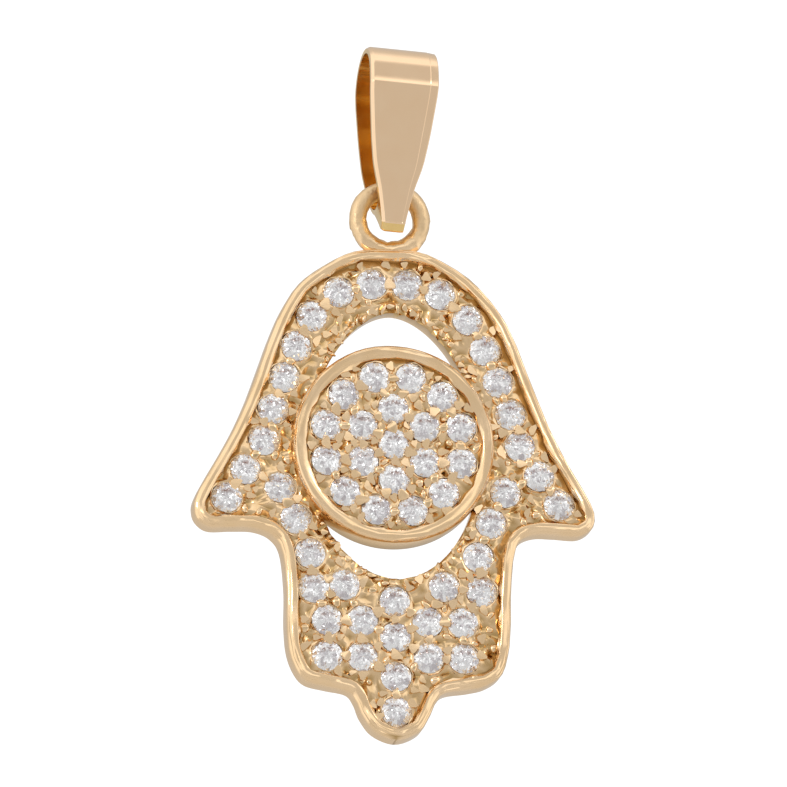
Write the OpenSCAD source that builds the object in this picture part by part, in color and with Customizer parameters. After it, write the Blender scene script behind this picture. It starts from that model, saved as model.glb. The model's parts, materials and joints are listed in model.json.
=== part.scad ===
// Pendant in the shape of an open hand with a round disc in its palm, both set
// with small round stones, a cast ring at the top and a tapered strap bail.
// Millimetres. The front faces -Y and Z is up. The origin is the inside top of
// the bail, where a chain bears when the pendant hangs.

/* [Hand] */
// Width of the hand across the two thumbs
hand_w = 20.4; // [18.6:0.1:26]
// Height from the centre of the palm to the top of the hand
hand_rise = 10.2; // [9.5:0.1:13]
// Drop from the centre of the palm to the tip of the middle finger
hand_drop = 15.1; // [14:0.1:19]
// Thickness of the casting from its back to the crest of its border
hand_t = 1.5; // [1.4:0.05:2.4]
// Width of the raised border
rim_w = 0.6; // [0.45:0.05:0.7]
// Depth of the stone bed below the crest of the border
bed_depth = 0.42; // [0.3:0.02:0.5]
// Radius that rounds the crest of the border
rim_round = 0.2; // [0.1:0.02:0.22]
// Bevel round the back of the casting
back_bevel = 0.15; // [0.05:0.05:0.3]

/* [Opening in the palm] */
// Width of the eye-shaped opening, across the palm
eye_w = 8.8; // [7.6:0.1:9]
// Height of the opening above the centre of the palm
eye_rise = 6.95; // [6.4:0.05:7]
// Depth of the opening below the centre of the palm
eye_drop = 6.75; // [6.4:0.05:6.9]
// Distance of the opening's axis to the right of the palm's centre
eye_x = 0.15; // [0:0.05:0.3]

/* [Disc] */
// Diameter of the disc
disc_d = 10.2; // [9.6:0.1:10.6]
// Width of the disc's border
disc_rim_w = 0.7; // [0.4:0.05:0.9]
// Height of the disc's crest above the crest of the hand
disc_proud = 0.42; // [0.2:0.02:0.8]
// Thickness of the disc from its back to its crest
disc_t = 1.7; // [0.95:0.05:1.75]
// Depth of the disc's stone bed below its crest
disc_bed = 0.3; // [0.2:0.02:0.4]

/* [Stones] */
// Diameter of each stone
stone_d = 1.5; // [1.2:0.05:1.6]
// Least space between two stones in a ring of the disc
stone_gap = 0.25; // [0.15:0.05:0.4]
// Height of a stone's girdle above the bed
stone_lift = 0.02; // [0:0.02:0.08]
// Clearance between a stone and its seat
seat_clear = 0.03; // [0.02:0.01:0.06]
// Diameter of the hole drilled behind each stone
drill_d = 0.75; // [0.5:0.05:0.9]
// Diameter of the grains that hold the stones
grain_d = 0.46; // [0.3:0.02:0.5]

/* [Ring at the top] */
// Mean diameter of the ring
ring_d = 3.2; // [3.1:0.05:3.6]
// Diameter of the ring's wire
ring_wire = 0.9; // [0.7:0.05:0.95]
// Depth that the ring sinks into the top of the hand
ring_sink = 0.44; // [0.3:0.02:0.6]
// Distance of the ring to the right of the palm's centre
ring_x = 0.14; // [0:0.02:0.2]

/* [Bail] */
// Height of the bail from its tip to its top
bail_h = 9.65; // [9:0.05:13]
// Width of the strap at the top of the bail
bail_w = 3.5; // [3:0.05:4.2]
// Width of the strap where the ring bears on it
bail_waist_w = 1.95; // [1.6:0.05:2]
// Width of the strap at its tip
bail_tip_w = 1.12; // [0.9:0.02:1.2]
// Depth of the bail from front to back at its top
bail_depth = 4; // [3.3:0.1:5]
// Thickness of the strap
strap_t = 0.35; // [0.3:0.01:0.4]
// Length of the bail below the middle of the ring's wire
bail_foot = 2.42; // [2.1:0.02:2.44]
// Room round the ring's wire in the bottom of the bail
ring_play = 0.65; // [0.55:0.01:0.7]
// Lean of the bail to the right, in degrees
bail_lean = 3.5; // [0:0.5:4]
// Turn of the bail about its own height, in degrees
bail_turn = 3; // [0:0.5:3]
// Distance of the bail to the right of the ring's middle
bail_x = 0.08; // [0:0.02:0.12]
// Distance of the strap's top to the right of its tip, in its own plane
bail_skew = 0.1; // [0:0.05:0.2]

/* [Hidden] */

$fn = 48;

half_w = hand_w / 2;
crest = hand_t / 2;
bed = crest - bed_depth;
disc_r = disc_d / 2;
disc_crest = crest + disc_proud;
disc_floor = disc_crest - disc_bed;
stone_r = stone_d / 2;
grain_r = grain_d / 2;
ring_r = ring_d / 2;
wire_r = ring_wire / 2;

// The ring stands on the hand, and its upper wire hangs in the bail.
ring_y = hand_rise - ring_sink + wire_r + ring_r;
wire_y = ring_y + ring_r;

// The bail's own zero is the middle of the wire that it carries.
cradle_r = wire_r + ring_play;
arch_r = bail_depth / 2;
arch_y = bail_h - bail_foot - arch_r;
seat_y = arch_y + arch_r - strap_t;

// Outline of the hand from the top to the tip of the middle finger. Columns:
// left and right, as shares of half the width; height, as a share of the rise,
// or if negative of the drop.
OUTLINE = [
    [0, 0, 1], [0.167, 0.167, 0.988], [0.307, 0.309, 0.922],
    [0.446, 0.441, 0.819], [0.535, 0.551, 0.686], [0.6, 0.625, 0.539],
    [0.662, 0.686, 0.373], [0.718, 0.743, 0.225], [0.781, 0.799, 0.085],
    [0.851, 0.863, -0.03], [0.926, 0.936, -0.116], [0.978, 0.988, -0.183],
    [0.99, 1.004, -0.222], [0.972, 0.99, -0.262], [0.912, 0.922, -0.29],
    [0.794, 0.804, -0.288], [0.686, 0.706, -0.289], [0.603, 0.632, -0.312],
    [0.555, 0.598, -0.365], [0.537, 0.58, -0.491], [0.54, 0.575, -0.611],
    [0.529, 0.559, -0.704], [0.493, 0.525, -0.77], [0.441, 0.451, -0.807],
    [0.343, 0.363, -0.823], [0.24, 0.245, -0.837], [0.201, 0.196, -0.87],
    [0.172, 0.162, -0.92], [0.11, 0.108, -0.973], [0, 0, -1]
];

// Stones on either side of the hand. Columns: share of half the width; height,
// as in OUTLINE.
HAND_STONES = [
    [0.088, 0.82], [0.252, 0.776], [0.388, 0.65], [0.47, 0.498],
    [0.532, 0.339], [0.591, 0.176], [0.636, 0.017], [0.73, -0.089],
    [0.826, -0.186], [0.56, -0.148], [0.485, -0.254], [0.418, -0.371],
    [0.432, -0.488], [0.247, -0.475], [0.336, -0.597], [0.162, -0.596],
    [0.338, -0.718], [0.165, -0.718]
];

// Stones down the middle of the hand, as shares of the drop
MIDDLE_STONES = [-0.528, -0.65, -0.784, -0.904];

// Rings of stones on the disc. Columns: share of the outer ring's radius;
// angle of the first stone.
DISC_RINGS = [[0.515, 30], [1, 15]];

// Rings of grains on the disc. Columns: share of the outer stone ring's
// radius; number of grains; angle of the first one.
DISC_GRAINS = [[0.3, 6, 0], [0.7, 6, 0], [0.81, 6, 30], [1.2, 12, 0]];

// Profile of a brilliant, as shares of its diameter
TABLE_SHARE = 0.56;
STAR_SHARE = 0.8;
CROWN_SHARE = 0.15;
STAR_RISE_SHARE = 0.08;
GIRDLE_SHARE = 0.03;
PAVILION_SHARE = 0.43;
FACET_SHARE = 0.24;
FACET_DROP_SHARE = 0.33;
MAIN_FACETS = 8;

// Share of a corner's rounding at which its chamfer is broken
BREAK_SHARE = 0.3;

// Steps between two points of the outline
CURVE_STEPS = 3;

// Roundness of the opening's lower and upper half: 2 is an ellipse, less is
// more pointed
EYE_POWERS = [2, 1.8];

// A grain overlaps the seats beside it, and it may sink into the border. Both
// are shares of its radius.
BITE_SHARE = 0.25;
SINK_SHARE = 0.6;

// The bail's shoulder lies this share of the arch's radius below its middle.
SHOULDER_SHARE = 0.2;

// Sides of the bail between its waist and its shoulder. Columns: share of the way
// up; share of the way from the waist's width to the top's; share of bail_skew.
HIPS = [[0.15, 0.34, 0.4], [0.5, 0.68, 0.7]];

// Direction in which the foot leaves the bottom bend, in degrees behind plumb
FOOT_ANGLE = 20;

// Two stones closer than this share of the stones' pitch have grains between
// them.
NEIGHBOUR_SHARE = 1.33;

function placed(x, y) = [x * half_w, y * (y > 0 ? hand_rise : hand_drop)];

// Point at t from b to c on a smooth curve through a, b, c and d
function curve_point(a, b, c, d, t) =
    0.5 * (2 * b + (c - a) * t + (2 * a - 5 * b + 4 * c - d) * t * t
    + (3 * b - a - 3 * c + d) * t * t * t);

function closed_curve(p, steps) =
    let (n = len(p))
    [for (i = [0 : n - 1], k = [0 : steps - 1])
        curve_point(p[(i + n - 1) % n], p[i], p[(i + 1) % n], p[(i + 2) % n], k / steps)];

// Closed clockwise line moved inwards by d. Its direction is taken over two
// steps each way, which keeps tight corners round.
function inset(p, d) =
    let (n = len(p))
    [for (i = [0 : n - 1])
        let (t = p[(i + 2) % n] - p[(i + n - 2) % n])
        p[i] + d * [t.y, -t.x] / norm(t)];

outline = closed_curve(
    concat(
        [for (row = OUTLINE) placed(row[1], row[2])],
        [for (i = [len(OUTLINE) - 2 : -1 : 1]) placed(-OUTLINE[i][0], OUTLINE[i][2])]
    ),
    CURVE_STEPS
);

// Edge of the opening on the way from its middle to p: an oval that is drawn
// out at the top
function eye_point(p) =
    let (
        way = (p - [eye_x, 0]) / norm(p - [eye_x, 0]),
        power = EYE_POWERS[way.y > 0 ? 1 : 0],
        u = abs(way.x) / (eye_w / 2),
        v = abs(way.y) / (way.y > 0 ? eye_rise : eye_drop)
    )
    [eye_x, 0] + way / pow(pow(u, power) + pow(v, power), 1 / power);

function level(p, z) = [for (q = p) [q.x, q.y, z]];

// Point of a list that lies nearest to p
function nearest(p, list) =
    let (gaps = [for (q = list) norm(p - q)], least = min(gaps))
    [for (i = [0 : len(list) - 1]) if (gaps[i] == least) list[i]][0];

// A stone's centre, moved in where it would stand on the border
function clear_of_border(p) =
    let (
        q = nearest(p, outline),
        gap = norm(p - q),
        need = rim_w + stone_r + 2 * seat_clear
    )
    gap < need ? q + (p - q) * need / gap : p;

hand_points = concat(
    [for (side = [-1, 1], row = HAND_STONES) clear_of_border(placed(side * row[0], row[1]))],
    [for (y = MIDDLE_STONES) placed(0, y)]
);

disc_ring_r = disc_r - disc_rim_w - stone_r - 4 * seat_clear;
function on_circle(r, angle) = r * [cos(angle), sin(angle)];
disc_points = concat([[0, 0]], [
    for (row = DISC_RINGS)
        let (r = row[0] * disc_ring_r, n = floor(2 * PI * r / (stone_d + stone_gap)))
        for (k = [0 : n - 1]) on_circle(r, row[1] + k * 360 / n)
]);
disc_grain_points = [
    for (row = DISC_GRAINS, k = [0 : row[1] - 1])
        on_circle(row[0] * disc_ring_r, row[2] + k * 360 / row[1])
];

// Grains stand in the corners that two neighbouring stones leave.
neighbour = NEIGHBOUR_SHARE * (stone_d + stone_gap);
corner_grains = [
    for (i = [0 : len(hand_points) - 2], j = [i + 1 : len(hand_points) - 1])
        let (a = hand_points[i], b = hand_points[j], d = norm(b - a))
        if (d < neighbour)
            for (side = [-1, 1])
                let (
                    reach = stone_r + seat_clear + (1 - BITE_SHARE) * grain_r,
                    rise = sqrt(max(pow(reach, 2) - pow(d / 2, 2), 0))
                )
                (a + b) / 2 + side * rise * [b.y - a.y, a.x - b.x] / d
];

function is_clear(p, points, gap) = min([for (q = points) norm(p - q)]) >= gap;

function on_bed(p) =
    is_clear(p, hand_points, stone_r + seat_clear + 0.95 * (1 - BITE_SHARE) * grain_r)
    && is_clear(p, outline, rim_w + (1 - SINK_SHARE) * grain_r)
    && norm(p) > disc_r + grain_r
    && norm(p - [eye_x, 0]) > norm(eye_point(p) - [eye_x, 0]) + grain_r;

// Keeps each point that has no earlier one within gap of it
function spaced(points, gap, kept = [], i = 0) =
    i == len(points) ? kept
    : let (taken = len([for (q = kept) if (norm(points[i] - q) < gap) 1]) > 0)
    spaced(points, gap, taken ? kept : concat(kept, [points[i]]), i + 1);

hand_grain_points = spaced([for (p = corner_grains) if (on_bed(p)) p], grain_d);

// Solid between closed rings of equally many points, the last joined to the first
module ring_loft(rings) {
    k = len(rings);
    n = len(rings[0]);
    polyhedron(
        points = [for (r = rings) each r],
        faces = [
            for (a = [0 : k - 1], i = [0 : n - 1])
                let (b = (a + 1) % k, j = (i + 1) % n)
                each [
                    [a * n + i, a * n + j, b * n + j],
                    [a * n + i, b * n + j, b * n + i]
                ]
        ],
        convexity = 6
    );
}

// Everything below lies on its back, with the front towards +Z and the top
// towards +Y, until hang() stands it up.
module hang() {
    translate([-seat_y * sin(bail_lean) - bail_x - ring_x, 0, -seat_y * cos(bail_lean) - wire_y])
        rotate([90, 0, 0])
            children();
}

module casting() {
    inner = inset(outline, rim_w);
    edge = [for (p = inner) eye_point(p)];
    ring_loft([
        level(edge, -crest),
        level(inset(outline, back_bevel), -crest),
        level(outline, -crest + back_bevel),
        level(outline, crest - rim_round),
        level(inset(outline, rim_round * BREAK_SHARE), crest - rim_round * BREAK_SHARE),
        level(inset(outline, rim_round), crest),
        level(inset(outline, rim_w - rim_round), crest),
        level(inset(outline, rim_w - rim_round * BREAK_SHARE), crest - rim_round * BREAK_SHARE),
        level(inner, crest - rim_round),
        level(inner, bed),
        level(edge, bed)
    ]);
}

module disc_cup() {
    inner_r = disc_r - disc_rim_w;
    rotate_extrude()
        polygon([
            [0, disc_crest - disc_t],
            [disc_r - back_bevel, disc_crest - disc_t],
            [disc_r, disc_crest - disc_t + back_bevel],
            [disc_r, disc_crest - rim_round],
            [disc_r - rim_round * BREAK_SHARE, disc_crest - rim_round * BREAK_SHARE],
            [disc_r - rim_round, disc_crest],
            [inner_r + rim_round, disc_crest],
            [inner_r + rim_round * BREAK_SHARE, disc_crest - rim_round * BREAK_SHARE],
            [inner_r, disc_crest - rim_round],
            [inner_r, disc_floor],
            [0, disc_floor]
        ]);
}

module top_ring() {
    translate([ring_x, ring_y, 0])
        rotate_extrude()
            translate([ring_r, 0])
                circle(r = wire_r);
}

// Hole for a stone whose girdle is at z = 0, open to the back
module seat() {
    top_r = stone_r + seat_clear;
    drill_r = drill_d / 2;
    depth = PAVILION_SHARE * stone_d * (1 - drill_r / stone_r) + seat_clear;
    rotate_extrude()
        polygon([
            [0, -hand_t * 2],
            [drill_r, -hand_t * 2],
            [drill_r, -depth],
            [top_r, -seat_clear - GIRDLE_SHARE * stone_d / 2],
            [top_r, hand_t],
            [0, hand_t]
        ]);
}

// Round brilliant with its table towards +Z and its girdle at z = 0
module brilliant() {
    half = MAIN_FACETS;
    n = 2 * half;
    girdle_z = GIRDLE_SHARE * stone_d / 2;
    function ring(r, z, count, phase) =
        [for (i = [0 : count - 1]) [each on_circle(r, phase + i * 360 / count), z]];
    first = [0, half, n, 2 * n, 3 * n, 3 * n + half];
    polyhedron(
        points = concat(
            ring(stone_r * TABLE_SHARE, girdle_z + CROWN_SHARE * stone_d, half, 0),
            ring(stone_r * STAR_SHARE, girdle_z + STAR_RISE_SHARE * stone_d, half, 180 / half),
            ring(stone_r, girdle_z, n, 0),
            ring(stone_r, -girdle_z, n, 0),
            ring(stone_r * FACET_SHARE, -girdle_z - FACET_DROP_SHARE * stone_d, half, 0),
            [[0, 0, -girdle_z - PAVILION_SHARE * stone_d]]
        ),
        faces = concat(
            [[for (i = [half - 1 : -1 : 0]) first[0] + i]],
            [for (i = [0 : half - 1])
                let (
                    next = (i + 1) % half,
                    table = first[0] + i,
                    table_next = first[0] + next,
                    star = first[1] + i,
                    main = first[2] + 2 * i,
                    mid = first[2] + 2 * i + 1,
                    main_next = first[2] + 2 * next
                )
                each [
                    [table, table_next, star],
                    [table, star, main],
                    [table_next, main_next, star],
                    [star, mid, main],
                    [star, main_next, mid]
                ]],
            [for (i = [0 : n - 1])
                let (next = (i + 1) % n)
                each [
                    [first[2] + i, first[2] + next, first[3] + next],
                    [first[2] + i, first[3] + next, first[3] + i]
                ]],
            [for (i = [0 : half - 1])
                let (
                    next = (i + 1) % half,
                    low = first[4] + i,
                    low_next = first[4] + next,
                    main = first[3] + 2 * i,
                    mid = first[3] + 2 * i + 1,
                    main_next = first[3] + 2 * next
                )
                each [
                    [main, mid, low],
                    [mid, low_next, low],
                    [mid, main_next, low_next],
                    [low, low_next, first[5]]
                ]]
        )
    );
}

module at_stones(points, floor_z) {
    for (p = points)
        translate([p.x, p.y, floor_z + stone_lift])
            children();
}

module grains(points, floor_z) {
    for (p = points)
        translate([p.x, p.y, floor_z])
            sphere(d = grain_d);
}

module hand() {
    color("#d2a878")
        hang()
            difference() {
                union() {
                    casting();
                    disc_cup();
                    top_ring();
                    grains(hand_grain_points, bed);
                    grains(disc_grain_points, disc_floor);
                }
                at_stones(hand_points, bed)
                    seat();
                at_stones(disc_points, disc_floor)
                    seat();
            }
}

module hand_stones() {
    color("#dcdcdc")
        hang()
            at_stones(hand_points, bed)
                brilliant();
}

module disc_stones() {
    color("#e8e8e8")
        hang()
            at_stones(disc_points, disc_floor)
                brilliant();
}

// Closed line round a lower and an upper circle on one upright line, with its
// straight flanks tangent to both
module stadium(low_r, high_r, rise) {
    tilt = asin((high_r - low_r) / rise);
    circle(r = low_r);
    translate([0, rise])
        circle(r = high_r);
    polygon([
        low_r * [-cos(tilt), -sin(tilt)],
        low_r * [cos(tilt), -sin(tilt)],
        [0, rise] + high_r * [cos(tilt), -sin(tilt)],
        [0, rise] + high_r * [-cos(tilt), -sin(tilt)]
    ]);
}

// Side view of the strap, with its front towards -X. Its two ends are soldered
// into one foot below the ring's wire. Columns of the foot: depth, height.
module bail_side() {
    outer_r = cradle_r + strap_t;
    tilt = asin((arch_r - outer_r) / arch_y);
    front_x = -outer_r * cos(tilt);
    foot_x = front_x + bail_foot * tan(tilt);
    difference() {
        union() {
            stadium(outer_r, arch_r, arch_y);
            polygon([
                [front_x, -outer_r * sin(tilt)],
                [foot_x, strap_t - bail_foot],
                [foot_x + strap_t, -bail_foot],
                [foot_x + 2 * strap_t, strap_t / 3 - bail_foot],
                outer_r * [sin(FOOT_ANGLE), -cos(FOOT_ANGLE)]
            ]);
        }
        stadium(cradle_r, arch_r - strap_t, arch_y);
    }
}

// Front view of the strap. Columns of its rows: width, height, and the share of
// bail_skew by which its middle stands to the right.
module bail_front() {
    shoulder_y = arch_y - SHOULDER_SHARE * arch_r;
    rows = concat(
        [
            [bail_tip_w, -bail_foot - strap_t, 0],
            [bail_tip_w, -bail_foot + strap_t, 0],
            [bail_waist_w, 0, 0.2]
        ],
        [for (h = HIPS) [bail_waist_w + h[1] * (bail_w - bail_waist_w), h[0] * shoulder_y, h[2]]],
        [
            [bail_w, shoulder_y, 1],
            [bail_w, arch_y + 2 * arch_r, 1]
        ]
    );
    polygon(concat(
        [for (row = rows) [bail_skew * row[2] + row[0] / 2, row[1]]],
        [for (i = [len(rows) - 1 : -1 : 0]) [bail_skew * rows[i][2] - rows[i][0] / 2, rows[i][1]]]
    ));
}

module bail() {
    color("#d9b088")
        rotate([0, bail_lean, 0])
            rotate([0, 0, bail_turn])
                translate([0, 0, -seat_y])
                    intersection() {
                        rotate([90, 0, 90])
                            linear_extrude(bail_w * 2, center = true)
                                bail_side();
                        rotate([90, 0, 0])
                            linear_extrude(bail_depth * 2, center = true)
                                bail_front();
                    }
}

hand();
disc_stones();
hand_stones();
bail();
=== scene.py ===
"""Looks of the stone-set hand pendant and its strap bail. Shapes are built in
millimetres, lying on their back with the front towards +Z and the top towards
+Y, and are stood up in the frame afterwards."""

import json
import math

import bmesh
import bpy
import numpy as np
from mathutils import Matrix, Vector

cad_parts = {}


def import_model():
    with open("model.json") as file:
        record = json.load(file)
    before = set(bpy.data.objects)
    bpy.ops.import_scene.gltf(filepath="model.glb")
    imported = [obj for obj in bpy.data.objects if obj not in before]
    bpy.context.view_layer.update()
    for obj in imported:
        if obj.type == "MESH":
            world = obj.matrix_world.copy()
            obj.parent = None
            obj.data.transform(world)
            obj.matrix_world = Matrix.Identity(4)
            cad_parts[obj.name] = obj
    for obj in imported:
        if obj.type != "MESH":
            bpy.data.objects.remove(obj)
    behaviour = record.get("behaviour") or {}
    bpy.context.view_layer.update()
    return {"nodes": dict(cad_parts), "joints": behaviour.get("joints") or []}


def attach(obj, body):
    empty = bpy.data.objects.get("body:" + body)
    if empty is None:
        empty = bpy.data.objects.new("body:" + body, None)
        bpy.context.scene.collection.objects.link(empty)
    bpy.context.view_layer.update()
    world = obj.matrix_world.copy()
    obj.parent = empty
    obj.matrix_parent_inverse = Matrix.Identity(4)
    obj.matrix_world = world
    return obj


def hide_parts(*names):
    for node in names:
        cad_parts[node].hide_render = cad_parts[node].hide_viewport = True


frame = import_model()

MM = 0.001

# Hand, in millimetres: the sizes are those of the casting.
HALF_W, RISE, DROP = 10.2, 10.2, 15.1
CREST, BED = 0.75, 0.33
RIM_W = 0.6
EYE_X, EYE_HALF_W, EYE_RISE, EYE_DROP = 0.15, 4.4, 6.95, 6.75
DISC_R, DISC_RIM_W, DISC_CREST, DISC_FLOOR, DISC_BACK = 5.1, 0.7, 1.17, 0.87, -0.53
RING_R, WIRE_R, RING_X, RING_Y = 1.6, 0.45, 0.14, 11.81
NICK_X, NICK_HALF_W, NICK_RISE = -0.06, 0.035, 0.18

# Stones, in millimetres. The shares are those of a stone's radius.
STONE_R, GIRDLE, CROWN, PAVILION = 0.775, 0.0225, 0.18, 0.645
SEAT_R, DRILL_R, STONE_LIFT = 0.792, 0.375, 0.04
TABLE_SHARE, STAR_SHARE, LOW_SHARE = 0.56, 0.8, 0.24

# Grains, in millimetres: how far apart two stones may be that share a grain, and how
# near to each other grains and small beads may stand.
NEIGHBOURS, GRAIN_GAP, BEAD_GAP = 2.32, 0.42, 0.4
BEAD_TRIES = 2600

# The hand's mesh is thinned to so many triangles, apart from what lies lower.
MOST_TRIANGLES, BACK_TOP = 185000, -0.3

# Rolls of the two borders. Columns: distance in from the edge, depth below the top.
RIM_ROLL = (
    (0.02, 0.31), (0.04, 0.22), (0.07, 0.16), (0.1, 0.125), (0.14, 0.118), (0.17, 0.075),
    (0.21, 0.02), (0.25, 0), (0.29, 0.012), (0.36, 0.045), (0.42, 0.036), (0.46, 0.012),
    (0.49, 0.007), (0.52, 0.025), (0.55, 0.07),
)
DISC_ROLL = (
    (0, 0.5), (0, 0.3), (0.03, 0.2), (0.08, 0.1), (0.13, 0.04), (0.17, 0.02), (0.21, 0.028),
    (0.26, 0.01), (0.34, 0.004), (0.42, 0.022), (0.5, 0.05), (0.57, 0.085),
)

# Bail, in millimetres, from the middle of the ring's wire
STRAP_T, CRADLE_R, ARCH_R, ARCH_Y, FOOT = 0.35, 1.1, 2.0, 5.23, 2.42
CREASE_Y = 4.93
LEAN, TURN = math.radians(3.5), math.radians(3)

# Bends of the bail's face above the crease. Columns: length, and by how many degrees
# the face leans back at its end.
FACE_BENDS = ((0.26, 10), (1.0, 24), (0.7, 45))

# The bail's strap. Columns: height, width there, shift of its middle to the right.
HEIGHTS, WIDTHS, SHIFTS = np.array([
    [-3, 1.12, 0], [-FOOT + STRAP_T, 1.12, 0], [0, 1.95, 0.02], [0.72, 2.48, 0.04],
    [2.42, 3.0, 0.07], [4.83, 3.5, 0.1], [9, 3.5, 0.1],
]).T

# Bevels of the bail's face. Columns: distance from the strap's edge, depth.
LEFT_BEVEL = ((0, 0.13), (0.02, 0.09), (0.15, 0.01), (0.2, 0))
RIGHT_BEVEL = ((0.46, 0), (0.42, 0.014), (0.38, 0.014), (0.06, 0.045), (0.025, 0.08), (0, 0.14))

# Darker colour painted on flat grain tops that face the front, a painted dark reflection;
# # the ring's rough casting takes a little of it as its own duller tone. Then what the rough
# # casting of the ring adds to the polish and to the depth of the bumps.
DARK_REFLECTION_AND_CAST = (0.5, 0.37, 0.2)
CAST_ROUGHNESS, CAST_DEPTH = 0.26, 14

# Brightness of the room in front. Columns: height of a direction in degrees,
# brightness there.
FRONT_LIGHT = (
    (-90, 0.45), (-45, 0.5), (-20, 0.7), (-8, 0.64), (16, 0.62), (20, 1.2), (33, 1.2),
    (38, 0.66), (58, 0.66), (64, 1.15), (90, 1.1),
)
# Brightness elsewhere: a ring of light surrounds the camera, and the far side is dim
# but for the sheet behind the pendant. Columns: degrees, from -90 at the camera to 90
# straight behind the pendant, and brightness there.
ROUND_LIGHT = (
    (-90, 0.62), (-62, 0.66), (-50, 1.0), (-20, 1.15), (13, 1.12), (32, 0.72), (60, 0.6),
    (80, 0.6), (85, 1.12), (90, 1.12),
)

# Outline of the hand. Columns: left and right, as shares of half the width;
# height, as a share of the rise, or if negative of the drop.
OUTLINE = np.array([
    [0, 0, 1], [0.167, 0.167, 0.988], [0.307, 0.309, 0.922],
    [0.446, 0.441, 0.819], [0.535, 0.551, 0.686], [0.6, 0.625, 0.539],
    [0.662, 0.686, 0.373], [0.718, 0.743, 0.225], [0.781, 0.799, 0.085],
    [0.851, 0.863, -0.03], [0.926, 0.936, -0.116], [0.978, 0.988, -0.183],
    [0.99, 1.004, -0.222], [0.972, 0.99, -0.262], [0.912, 0.922, -0.29],
    [0.794, 0.804, -0.288], [0.686, 0.706, -0.289], [0.603, 0.632, -0.312],
    [0.555, 0.598, -0.365], [0.537, 0.58, -0.491], [0.54, 0.575, -0.611],
    [0.529, 0.559, -0.704], [0.493, 0.525, -0.77], [0.441, 0.451, -0.807],
    [0.343, 0.363, -0.823], [0.24, 0.245, -0.837], [0.201, 0.196, -0.87],
    [0.172, 0.162, -0.92], [0.11, 0.108, -0.973], [0, 0, -1],
])


def waves(p, size, seed, count=18):
    """Smooth noise of about unit spread at points p, with features of that size."""
    rng = np.random.default_rng(seed)
    total = np.zeros(len(p))
    for _ in range(count):
        way = rng.normal(size=p.shape[1])
        way *= 2 * math.pi / size / np.linalg.norm(way) * rng.uniform(0.6, 1.25)
        total += np.sin(p @ way + rng.uniform(0, 2 * math.pi))
    return total * math.sqrt(2 / count)


def mesh_object(name, points, faces):
    """A new object in the scene."""
    data = bpy.data.meshes.new(name)
    data.from_pydata([tuple(p) for p in points], [], [tuple(f) for f in faces])
    data.validate()
    obj = bpy.data.objects.new(name, data)
    bpy.context.scene.collection.objects.link(obj)
    return obj


def loft(rings, around=True):
    """Points and faces of closed rings joined one to the next, and the last to
    the first where around is True. Otherwise the end rings are closed by fans."""
    n, k = len(rings[0]), len(rings)
    points = [p for ring in rings for p in ring]
    faces = []
    for a in range(k if around else k - 1):
        b = (a + 1) % k
        for i in range(n):
            j = (i + 1) % n
            faces.append((a * n + i, a * n + j, b * n + j, b * n + i))
    if not around:
        points += [np.mean(rings[0], axis=0), np.mean(rings[-1], axis=0)]
        last = (k - 1) * n
        for i in range(n):
            j = (i + 1) % n
            faces.append((j, i, k * n))
            faces.append((last + i, last + j, k * n + 1))
    return points, faces


def closed_curve(control, steps):
    """Points of a smooth closed curve through the control points."""
    a, b = np.roll(control, 1, 0), control
    c, d = np.roll(control, -1, 0), np.roll(control, -2, 0)
    t = (np.arange(steps) / steps)[None, :, None]
    a, b, c, d = (q[:, None, :] for q in (a, b, c, d))
    line = 0.5 * (2 * b + (c - a) * t + (2 * a - 5 * b + 4 * c - d) * t ** 2
                  + (3 * b - a - 3 * c + d) * t ** 3)
    return line.reshape(-1, 2)


def resampled(line, count):
    """count points evenly along a closed line."""
    ends = np.vstack([line, line[:1]])
    at = np.r_[0, np.cumsum(np.linalg.norm(np.diff(ends, axis=0), axis=1))]
    want = np.linspace(0, at[-1], count, endpoint=False)
    return np.c_[np.interp(want, at, ends[:, 0]), np.interp(want, at, ends[:, 1])]


def applied(obj, mod):
    """Turns a modifier of obj into mesh."""
    dg = bpy.context.evaluated_depsgraph_get()
    result = bpy.data.meshes.new_from_object(obj.evaluated_get(dg))
    obj.modifiers.remove(mod)
    old, obj.data = obj.data, result
    bpy.data.meshes.remove(old)


def boolean(obj, tool, kind):
    """obj joined with the tool or cut by it. The tool is used up."""
    mod = obj.modifiers.new("boolean", "BOOLEAN")
    mod.operation, mod.object, mod.solver = kind, tool, "MANIFOLD"
    applied(obj, mod)
    bpy.data.objects.remove(tool)


def thinned(obj, most, low):
    """Thins obj to about that many triangles. The walls of the holes behind the stones
    and all that lies below the height low are left out of it."""
    count = sum(len(face.vertices) - 2 for face in obj.data.polygons)
    group = obj.vertex_groups.new(name="thin")
    co = np.array([v.co for v in obj.data.vertices])
    beside = away(co[:, :2], np.vstack([hand_stones, disc_stones])) > DRILL_R + 0.01
    free = (co[:, 2] > low) & beside
    group.add([int(i) for i in np.flatnonzero(free)], 1, "REPLACE")
    mod = obj.modifiers.new("thin", "DECIMATE")
    mod.vertex_group = group.name
    mod.ratio = min(1, most / count)
    applied(obj, mod)


def smooth(obj, degrees):
    """Smooth shading, but for edges sharper than that."""
    for polygon in obj.data.polygons:
        polygon.use_smooth = True
    obj.data.set_sharp_from_angle(angle=math.radians(degrees))


def stand_up(obj, origin):
    """Turns a shape that lies on its back into the frame, with its zero at origin."""
    obj.data.transform(Matrix.Translation(origin) @ Matrix.Rotation(math.pi / 2, 4, "X")
                       @ Matrix.Scale(MM, 4))


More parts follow.
